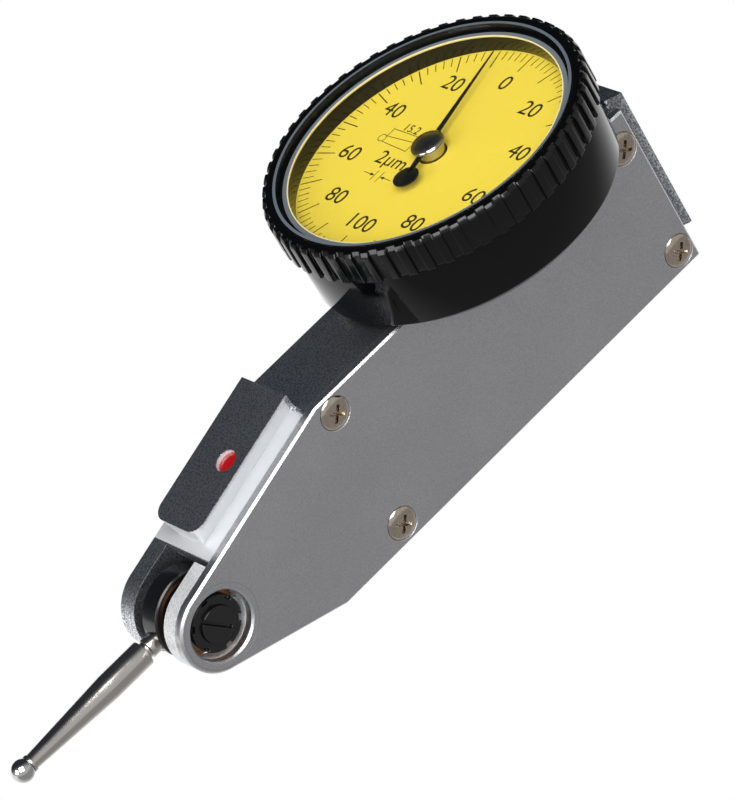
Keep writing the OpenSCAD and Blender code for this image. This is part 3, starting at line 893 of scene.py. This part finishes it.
@dataclass
class Stylus:
    """Swivelling stylus: drum, stepped and tapered shank, ball.

    Attributes:
        seat: Distance of the shank's seat from the pivot.
        head_r: Radius of the wrench collar.
        neck_r: Radius of the neck behind the shank.
        shank_r: Radius of the straight shank.
        taper_from: Distance at which the taper starts.
        tip_r: Radius at the end of the taper.
        collar_r: Radius of the cup that holds the ball.
        seat_r: Radius of the shank where it enters the drum.
        head_to: Distance at which the wrench collar ends.
        neck_from: Distance at which the neck starts.
        shank_from: Distance at which the straight shank starts.
        lead: Width of the chamfer there, along the shank.
        cup_r: Radius of the hollow that the ball sits in.
    """

    seat: float = 3.3
    head_r: float = 0.9
    neck_r: float = 0.74
    shank_r: float = 1.16
    taper_from: float = 9.2
    tip_r: float = 0.69
    collar_r: float = 0.79
    seat_r: float = 0.5
    head_to: float = 4.68
    neck_from: float = 4.8
    shank_from: float = 5.1
    lead: float = 0.06
    cup_r: float = 0.66

    def build(self) -> None:
        """Model the shank and the ball about the stylus' own axis."""
        pivot = middle("swivel_drum")
        ball = middle("contact_ball")
        radius = (high("contact_ball").z - low("contact_ball").z) / 2
        reach = (pivot.x - low("contact_ball").x - radius) / MM
        ball_r = radius / MM
        end = reach - ball_r * 0.7
        place = Matrix.Translation((pivot.x, ball.y, pivot.z)) @ Axis.FORWARD.value
        shank = turn("stylus_shank_turned", [
            (self.seat_r, self.seat), (self.head_r, self.seat), (self.head_r, self.head_to),
            (self.neck_r, self.neck_from), (self.neck_r, self.shank_from),
            (self.shank_r - 0.05, self.shank_from), (self.shank_r, self.shank_from + self.lead),
            (self.shank_r, self.taper_from), (self.tip_r, reach - ball_r),
            (self.collar_r, reach - ball_r + 0.02), (self.collar_r, end), (self.cup_r, end)], 96)
        round_edges(shank, 0.03)
        settle(shank, place)
        hand_in(shank, "stylus", "polished_steel", POLISHED_STEEL, "stylus_shank")
        deselect_all()
        bpy.ops.mesh.primitive_uv_sphere_add(segments=64, ring_count=32, radius=radius,
                                             location=(0, 0, reach * MM))
        globe = new_piece("ball_polished")
        bpy.ops.object.transform_apply(location=True)
        bpy.ops.object.mode_set(mode="EDIT")
        bpy.ops.mesh.select_all(action="SELECT")
        bpy.ops.mesh.bisect(plane_co=(0, 0, end * MM), plane_no=(0, 0, -1), clear_outer=True, use_fill=True)
        bpy.ops.object.mode_set(mode="OBJECT")
        face_out(globe)
        round_edges(globe, 0.0, angle=40)
        settle(globe, place)
        hand_in(globe, "stylus", "polished_carbide", CARBIDE, "contact_ball")

    def dress(self) -> None:
        """Give the drum and the lever's pieces their finishes."""
        dress("swivel_drum", BLACKENED, 0.05)
        dress("clutch_washer", BRONZE, 0.05)
        for node in ("pivot_spindle", "lever_arm", "lever_pin"):
            dress(node, ARBOR_STEEL, 0.02)


@dataclass
class Movement:
    """Gear train inside the body, seen only when the plate is off.

    Attributes:
        brass: Nodes made of brass.
        steel: Nodes made of ground steel.
    """

    brass: tuple[str, ...] = ("movement_bridge", "sector_gear", "crown_wheel", "lower_cock", "upper_bush",
                              "spring_collet", "spring_stud")
    steel: tuple[str, ...] = ("bridge_screws", "sector_arbor", "crown_arbor", "centre_arbor",
                              "centre_pinion", "case_screws", "slip_ring")

    def dress(self) -> None:
        """Give the movement its finishes."""
        for node in self.brass:
            dress(node, BRASS)
        for node in self.steel:
            dress(node, ARBOR_STEEL)
        dress("hairspring", BLUED)


@dataclass
class DialHead:
    """Case, ribbed bezel, crystal, dial and pointer, all about the dial's upright axis.

    Attributes:
        rib_count: Ribs round the bezel.
        rib_out: How far a rib stands out.
        per_rib: Sides of the bezel's circle in one rib and its gap.
        rib_sides: How many of those are the rib.
        bevel: Width of the bevel at the bezel's foot.
        tick_count: Divisions round the dial.
        ink: Thickness of the printing.
        case_wall: Thickness of the case's wall.
        case_floor: Thickness of its floor.
        case_bore: Radius of the hole in its floor.
        foot_in: How far its foot is set in by the chamfer.
        foot_h: Height of the chamfer.
        neck_in: How far the bezel's neck is set in.
        neck_h: Height of the neck.
        pointer_turn: Angle of the pointer from the dial's zero.
        long_tick: Distance of a long tick's inner end from the dial's rim.
        short_tick: The same for a short tick.
        tick_gap: Distance of every tick's outer end from the rim.
        tick_w: Width of a short tick.
        long_tick_w: Width of a long tick.
        figure_h: Height of a figure.
        figure_r: Radius on which the figures stand.
        pointer_reach: Distance of the pointer's tip from the dial's middle.
        hub_r: Radius of the hub's cap.
        axis: Middle of the dial case, through which the upright axis runs.
    """

    rib_count: int = 56
    rib_out: float = 0.25
    per_rib: int = 8
    rib_sides: int = 4
    bevel: float = 0.12
    tick_count: int = 100
    ink: float = 0.012
    case_wall: float = 1.8
    case_floor: float = 1.2
    case_bore: float = 1.0
    foot_in: float = 1.15
    foot_h: float = 0.95
    neck_in: float = 0.65
    neck_h: float = 0.41
    pointer_turn: float = 16.5
    long_tick: float = 2.1
    short_tick: float = 1.15
    tick_gap: float = 0.15
    tick_w: float = 0.075
    long_tick_w: float = 0.1
    figure_h: float = 1.62
    figure_r: float = 8.7
    pointer_reach: float = 11.25
    hub_r: float = 1.52
    axis: Vector = field(default_factory=lambda: middle("dial_case"))

    def at(self, height: float) -> Matrix:
        """Place on the dial's axis, at a height in metres."""
        return Matrix.Translation((self.axis.x, self.axis.y, height))

    def build(self) -> None:
        """Model every piece of the dial head."""
        self.build_case()
        self.build_bezel()
        self.build_crystal()
        self.build_dial()
        self.build_pointer()

    def build_case(self) -> None:
        """Turn the dial case: a chamfered cup with a neck for the bezel."""
        base, top = low("dial_case").z, high("dial_case").z
        tall = (top - base) / MM
        wide = (high("dial_case").x - low("dial_case").x) / 2 / MM
        neck, step = wide - self.neck_in, tall - self.neck_h
        inside = wide - self.case_wall
        case = turn("case_turned", [
            (self.case_bore, 0), (wide - self.foot_in, 0), (wide, self.foot_h), (wide, step), (neck, step),
            (neck, tall), (inside, tall), (inside, self.case_floor), (self.case_bore, self.case_floor)],
            192, closed=True)
        round_edges(case, 0.06)
        settle(case, self.at(base))
        hand_in(case, "housing", "gloss_black", GLOSS_BLACK, "dial_case")

    def build_bezel(self) -> None:
        """Turn the bezel, then push the ribs out of its wall."""
        base, top = low("bezel").z, high("bezel").z
        tall = (top - base) / MM
        rib_r = (high("bezel").x - low("bezel").x) / 2 / MM
        wall = rib_r - self.rib_out
        bore = (high("dial_plate").x - low("dial_plate").x) / 2 / MM
        seat = (high("crystal").x - low("crystal").x) / 2 / MM
        lip = (low("crystal").z - base) / MM
        bezel = turn("bezel_ribbed", [
            (wall - self.bevel, 0), (wall, self.bevel), (wall, tall - 0.45), (wall - 0.22, tall - 0.06),
            (wall - 0.32, tall), (seat + 0.3, tall), (seat + 0.18, tall - 0.07), (seat, tall - 0.07),
            (seat, lip), (bore, lip), (bore, 0.42), (seat, 0.42), (seat, 0)],
            self.rib_count * self.per_rib, closed=True)
        make_active(bezel)
        bpy.ops.object.mode_set(mode="EDIT")
        bpy.ops.mesh.select_mode(type="FACE")
        bpy.ops.mesh.select_all(action="DESELECT")
        mesh = bmesh.from_edit_mesh(bezel.data)
        for face in mesh.faces:
            spot = face.calc_center_median()
            outer = math.hypot(spot.x, spot.y) > (wall - self.bevel - 0.02) * MM
            turned = math.degrees(math.atan2(spot.y, spot.x)) % 360
            share = (turned / 360 * self.rib_count) % 1
            if outer and share < self.rib_sides / self.per_rib and abs(face.normal.z) < 0.9:
                face.select_set(True)
        bmesh.update_edit_mesh(bezel.data)
        bpy.ops.mesh.extrude_region_move()
        wider = rib_r / wall
        bpy.ops.transform.resize(value=(wider, wider, 1), center_override=(0, 0, 0))
        bpy.ops.object.mode_set(mode="OBJECT")
        face_out(bezel)
        round_edges(bezel, 0.05, angle=24)
        settle(bezel, self.at(base))
        hand_in(bezel, "bezel_ring", "bezel_black", BEZEL_BLACK, "bezel")
        # Painted highlight: a pale ring standing in for the bright line along the crystal's inner edge
        edge_highlight = turn("crystal_edge_highlight", [
            (bore + 0.01, lip - 0.22), (bore + 0.01, lip + 0.02), (bore - 0.09, lip + 0.02),
            (bore - 0.09, lip - 0.06)], 192, closed=True)
        round_edges(edge_highlight, 0.0)
        settle(edge_highlight, self.at(base))
        hand_in(edge_highlight, "bezel_ring", "bezel_black", CRYSTAL_EDGE_HIGHLIGHT)
        # The first ring is a painted highlight on the bezel's inner chamfer; the second is the crystal's
        # ground grey seat
        rings = (("bezel_inner_chamfer_highlight", seat - 0.12, seat + 0.14, tall - 0.003, CHAMFER_HIGHLIGHT_GREY),
                 ("crystal_seat_ring", bore + 0.03, bore + 0.4, lip + 0.003, RIM_GREY))
        for name, inner, outer, top_z, finish in rings:
            under = top_z - 0.004
            ring = turn(name, [(inner, under), (outer, under), (outer, top_z), (inner, top_z)],
                        192, closed=True)
            round_edges(ring, 0.0)
            settle(ring, self.at(base))
            hand_in(ring, "bezel_ring", "bezel_black", finish)

    def build_crystal(self) -> None:
        """Turn the crystal: a flat disc with a chamfered rim."""
        tall = (high("crystal").z - low("crystal").z) / MM
        wide = (high("crystal").x - low("crystal").x) / 2 / MM
        crystal = turn("crystal_disc", [(wide - 0.5, 0), (wide, 0), (wide, tall - 0.2), (wide - 0.2, tall),
                                        (wide - 0.8, tall)], 192)
        round_edges(crystal, 0.02)
        settle(crystal, self.at(low("crystal").z))
        hand_in(crystal, "bezel_ring", "crystal", ACRYLIC, "crystal")

    def build_dial(self) -> None:
        """Print the dial: graduation, figures, unit mark and the small stylus drawing."""
        dress("dial_plate", DIAL_YELLOW)
        face = high("dial_plate").z
        rim = (high("dial_plate").x - low("dial_plate").x) / 2 / MM
        short = self.tick(rim, self.short_tick, self.tick_w)
        fifth = self.tick(rim, self.long_tick, self.long_tick_w)
        ticks = []
        for i in range(self.tick_count):
            tick = own_copy(fifth if i % 5 == 0 else short)
            settle(tick, Matrix.Rotation(-math.tau * i / self.tick_count, 4, "Z"))
            ticks.append(tick)
        discard(short, fifth)
        graduation = join("dial_graduation", ticks)
        settle(graduation, self.at(face))
        hand_in(graduation, "bezel_ring", "dial_yellow", DIAL_INK)
        figures = []
        upright = Matrix.Rotation(math.radians(-90), 4, "Z")
        numbers = {value: lettering(str(value), self.figure_h, self.ink) for value in range(0, 101, 20)}
        for i in range(10):
            angle = -math.tau * i / 10
            figure = own_copy(numbers[20 * min(i, 10 - i)])
            spot = Vector((math.cos(angle), math.sin(angle), 0)) * self.figure_r
            spot.z = self.ink / 2
            settle(figure, Matrix.Translation(spot * MM) @ upright)
            figures.append(figure)
        discard(*numbers.values())
        for text, size, up, right in (("2µm", 1.5, -2.05, -3.2), ("15.2", 0.85, 1.5, -4.5)):
            figure = lettering(text, size, self.ink)
            settle(figure, Matrix.Translation((up * MM, -right * MM, self.ink * MM / 2)) @ upright)
            figures.append(figure)
        figures += self.drawn_marks()
        printing = join("dial_figures", figures)
        settle(printing, self.at(face))
        hand_in(printing, "bezel_ring", "dial_yellow", DIAL_INK)

    def tick(self, rim: float, inner: float, width: float) -> bpy.types.Object:
        """One tick of the graduation, lying along X.

        Args:
            rim: Radius of the dial.
            inner: Distance of its inner end from the rim.
            width: Its width.

        Returns:
            The tick.
        """
        start, end = rim - inner, rim - self.tick_gap
        return block("tick", (end - start, width, self.ink), ((end + start) / 2, 0, self.ink / 2))

    def drawn_marks(self) -> list[bpy.types.Object]:
        """Thin lines of the graduation mark and of the stylus drawing.

        Returns:
            The lines, each a thin bar in the dial's plane.
        """
        # Both ends of each line, up from the dial's middle and to the right, in millimetres
        lines = [
            ((-3.9, -4.9), (-3.9, -3.9)), ((-4.5, -3.5), (-3.3, -3.5)), ((-4.5, -2.8), (-3.3, -2.8)),
            ((-3.9, -2.4), (-3.9, -1.4)),
            ((0.1, -6.3), (0.35, -2.9)), ((-0.55, -6.3), (-0.75, -2.9)), ((0.35, -2.9), (-0.75, -2.9)),
            ((0.1, -6.3), (1.1, -6.3)), ((1.0, -6.3), (1.0, -2.9)), ((0.35, -2.9), (1.15, -2.9)),
        ]
        bars = []
        for start, end in lines:
            a, b = Vector((start[0], -start[1], 0)), Vector((end[0], -end[1], 0))
            run = b - a
            bar = block("line", (run.length, 0.06, self.ink), (0, 0, self.ink / 2))
            settle(bar, Matrix.Translation((a + b) / 2 * MM)
                   @ Matrix.Rotation(math.atan2(run.y, run.x), 4, "Z"))
            bars.append(bar)
        head = turn("arrow", [(0.3, 0), (0.3, self.ink)], 3)
        for right, way in ((-3.86, 1), (-2.44, -1)):
            arrow = own_copy(head)
            settle(arrow, Matrix.Translation((-3.9 * MM, -right * MM, 0))
                   @ Matrix.Diagonal((0.62, -1.1 * way, 1, 1)))
            face_out(arrow)
            bars.append(arrow)
        discard(head)
        ring = turn("ball_outline", [(0.36, 0), (0.42, 0), (0.42, self.ink), (0.36, self.ink)],
                    32, closed=True)
        settle(ring, Matrix.Translation((-0.22 * MM, 6.62 * MM, 0)))
        return bars + [ring]

    def build_pointer(self) -> None:
        """Cut the pointer from one thin strip and turn its hub."""
        base = low("pointer").z
        thick = (high("pointer").z - base) / MM
        tip, root = self.pointer_reach, 1.1
        blade = block("blade", (tip - root, 0.5, thick), ((tip + root) / 2, 0, thick / 2))
        self.taper(blade, tip * MM, 0.16)
        tail = block("tail", (2.9, 0.42, thick), (-1.9, 0, thick / 2))
        self.taper(tail, -0.45 * MM, 1.6)
        disc = turn("counterweight", [(1.15, 0), (1.15, thick)], 64)
        settle(disc, Matrix.Translation((-3.8 * MM, 0, 0)))
        boss = turn("boss", [(1.25, 0), (1.25, thick)], 64)
        hand = join("pointer_blade", [blade, tail, disc, boss])
        round_edges(hand, 0.02)
        settle(hand, self.at(base) @ Matrix.Rotation(math.radians(self.pointer_turn), 4, "Z"))
        hand_in(hand, "indicator", "pointer_black", POINTER_BLACK, "pointer")
        foot = low("pointer_hub").z
        tall = (high("pointer_hub").z - foot) / MM
        seat = (base - foot) / MM + thick
        dome = tall - seat
        cap = [(self.hub_r * math.cos(a), seat + 0.06 + (dome - 0.06) * math.sin(a))
               for a in [math.radians(d) for d in range(0, 86, 7)]]
        under = seat - thick - 0.02
        hub = turn("hub_turned", [
            (0.4, 0), (1.15, 0), (1.15, under), (0.6, under), (0.6, seat), (self.hub_r, seat)] + cap, 96)
        round_edges(hub, 0.0, angle=35)
        settle(hub, self.at(foot))
        hand_in(hub, "indicator", "hub_black", HUB_METAL, "pointer_hub")

    def taper(self, obj: bpy.types.Object, end: float, ratio: float) -> None:
        """Narrow or widen a bar at one end.

        Args:
            obj: The bar, lying along X.
            end: X of the end to change, in metres.
            ratio: Its new width as a share of the old one.
        """
        make_active(obj)
        bpy.ops.object.mode_set(mode="EDIT")
        bpy.ops.mesh.select_mode(type="VERT")
        bpy.ops.mesh.select_all(action="DESELECT")
        mesh = bmesh.from_edit_mesh(obj.data)
        for vert in mesh.verts:
            if abs(vert.co.x - end) < 0.01 * MM:
                vert.select_set(True)
        mesh.select_flush(True)
        bmesh.update_edit_mesh(obj.data)
        bpy.ops.transform.resize(value=(1, ratio, 1), center_override=(end, 0, 0))
        bpy.ops.object.mode_set(mode="OBJECT")


@dataclass
class Studio:
    """Camera, floor, world and lights.

    Attributes:
        eye: Place of the camera, in millimetres.
        right: The camera's right.
        up: The camera's up.
        lens: Focal length for a 36 mm wide sensor.
        near_glow: How bright the floor is to the object's reflections, near the camera.
        far_glow: The same, far from it.
        floor_drop: How far below the origin the floor lies, in metres.
    """

    eye: tuple[float, float, float] = (-188.06, -373.27, 274.08)
    right: tuple[float, float, float] = (0.67786, -0.5971, -0.42892)
    up: tuple[float, float, float] = (0.66229, 0.24266, 0.70886)
    lens: float = 293.88
    near_glow: float = 0.36
    far_glow: float = 1.15
    floor_drop: float = 0.12

    def build(self) -> None:
        """Set up the studio."""
        scene = bpy.context.scene
        scene.view_settings.view_transform = "Standard"
        right = Vector(self.right).normalized()
        up = (Vector(self.up) - right * right.dot(Vector(self.up))).normalized()
        back = right.cross(up)
        data = bpy.data.cameras.new("camera")
        data.sensor_fit = "HORIZONTAL"
        data.sensor_width = 36
        data.lens = self.lens
        data.clip_start = 0.01
        data.clip_end = 10
        camera = bpy.data.objects.new("camera", data)
        turned = Matrix((right, up, back)).transposed().to_4x4()
        camera.matrix_world = Matrix.Translation(Vector(self.eye) * MM) @ turned
        scene.collection.objects.link(camera)
        scene.camera = camera
        self.build_floor()
        self.build_world()
        self.light("key", place=(-0.25, -0.45, 0.62), size=0.62, power=9.0)
        self.light("fill", place=(-0.6, 0.0, 0.3), size=0.35, power=2.0)

    def build_floor(self) -> None:
        """A plain white sweep well below the object."""
        deselect_all()
        bpy.ops.mesh.primitive_plane_add(size=4, location=(0, 0, -self.floor_drop))
        floor = new_piece("floor")
        bpy.ops.object.transform_apply(location=True)
        material = empty_material("white_sweep")
        tree = material.node_tree
        bright = add_node(tree, "ShaderNodeEmission", {"Color": (1, 1, 1, 1), "Strength": 1.0})
        place = add_node(tree, "ShaderNodeSeparateXYZ", {
            0: add_node(tree, "ShaderNodeTexCoord").outputs["Object"]})
        glow = add_node(tree, "ShaderNodeMapRange", {
            "Value": place.outputs["Y"], "From Min": -0.09, "From Max": 0.12, "To Min": self.near_glow,
            "To Max": self.far_glow}, interpolation_type="SMOOTHSTEP")
        shaded = add_node(tree, "ShaderNodeEmission", {"Color": (1, 1, 1, 1),
                                                       "Strength": glow.outputs["Result"]})
        path = add_node(tree, "ShaderNodeLightPath")
        seen = add_node(tree, "ShaderNodeMixShader", {
            0: path.outputs["Is Camera Ray"], 1: shaded.outputs["Emission"], 2: bright.outputs["Emission"]})
        show(tree, seen.outputs["Shader"])
        floor.data.materials.append(material)

    def build_world(self) -> None:
        """White surroundings with a darker room high behind the object."""
        world = bpy.data.worlds.new("studio")
        world.use_nodes = True
        bpy.context.scene.world = world
        tree = world.node_tree
        tree.nodes.clear()
        way = add_node(tree, "ShaderNodeTexCoord").outputs["Generated"]
        behind = add_node(tree, "ShaderNodeVectorMath", {0: way, 1: Vector((0.3, 0.75, 0.6)).normalized()},
                          operation="DOT_PRODUCT")
        dark = add_node(tree, "ShaderNodeMapRange", {
            "Value": behind.outputs["Value"], "From Min": -0.1, "From Max": 0.75},
            interpolation_type="SMOOTHSTEP")
        colour = add_node(tree, "ShaderNodeMix", {
            "Factor": dark.outputs["Result"], "A": (0.62, 0.62, 0.62, 1), "B": (0.035, 0.04, 0.05, 1)},
            data_type="RGBA")
        room = add_node(tree, "ShaderNodeBackground", {"Color": colour.outputs["Result"]})
        white = add_node(tree, "ShaderNodeBackground", {"Color": (1, 1, 1, 1)})
        path = add_node(tree, "ShaderNodeLightPath")
        seen = add_node(tree, "ShaderNodeMixShader", {
            0: path.outputs["Is Camera Ray"], 1: room.outputs["Background"], 2: white.outputs["Background"]})
        add_node(tree, "ShaderNodeOutputWorld", {"Surface": seen.outputs["Shader"]})

    def light(self, name: str, place: tuple[float, float, float], size: float, power: float) -> None:
        """A soft square light aimed at the object.

        Args:
            name: Its name.
            place: Where it stands, in metres.
            size: Its side, in metres.
            power: Its power, in watts.
        """
        data = bpy.data.lights.new(name, "AREA")
        data.size = size
        data.energy = power
        lamp = bpy.data.objects.new(name, data)
        aim = Vector(place).to_track_quat("Z", "Y").to_matrix().to_4x4()
        lamp.matrix_world = Matrix.Translation(place) @ aim
        bpy.context.scene.collection.objects.link(lamp)


def main() -> None:
    """Build the object's looks and the studio, piece by piece."""
    logging.basicConfig(level=logging.INFO, format="%(message)s")
    deselect_all()
    housing = Housing()
    housing.dress()
    housing.build()
    housing.scribe()
    stylus = Stylus()
    stylus.dress()
    stylus.build()
    Movement().dress()
    DialHead().build()
    Studio().build()


if __name__ == "__main__":
    main()
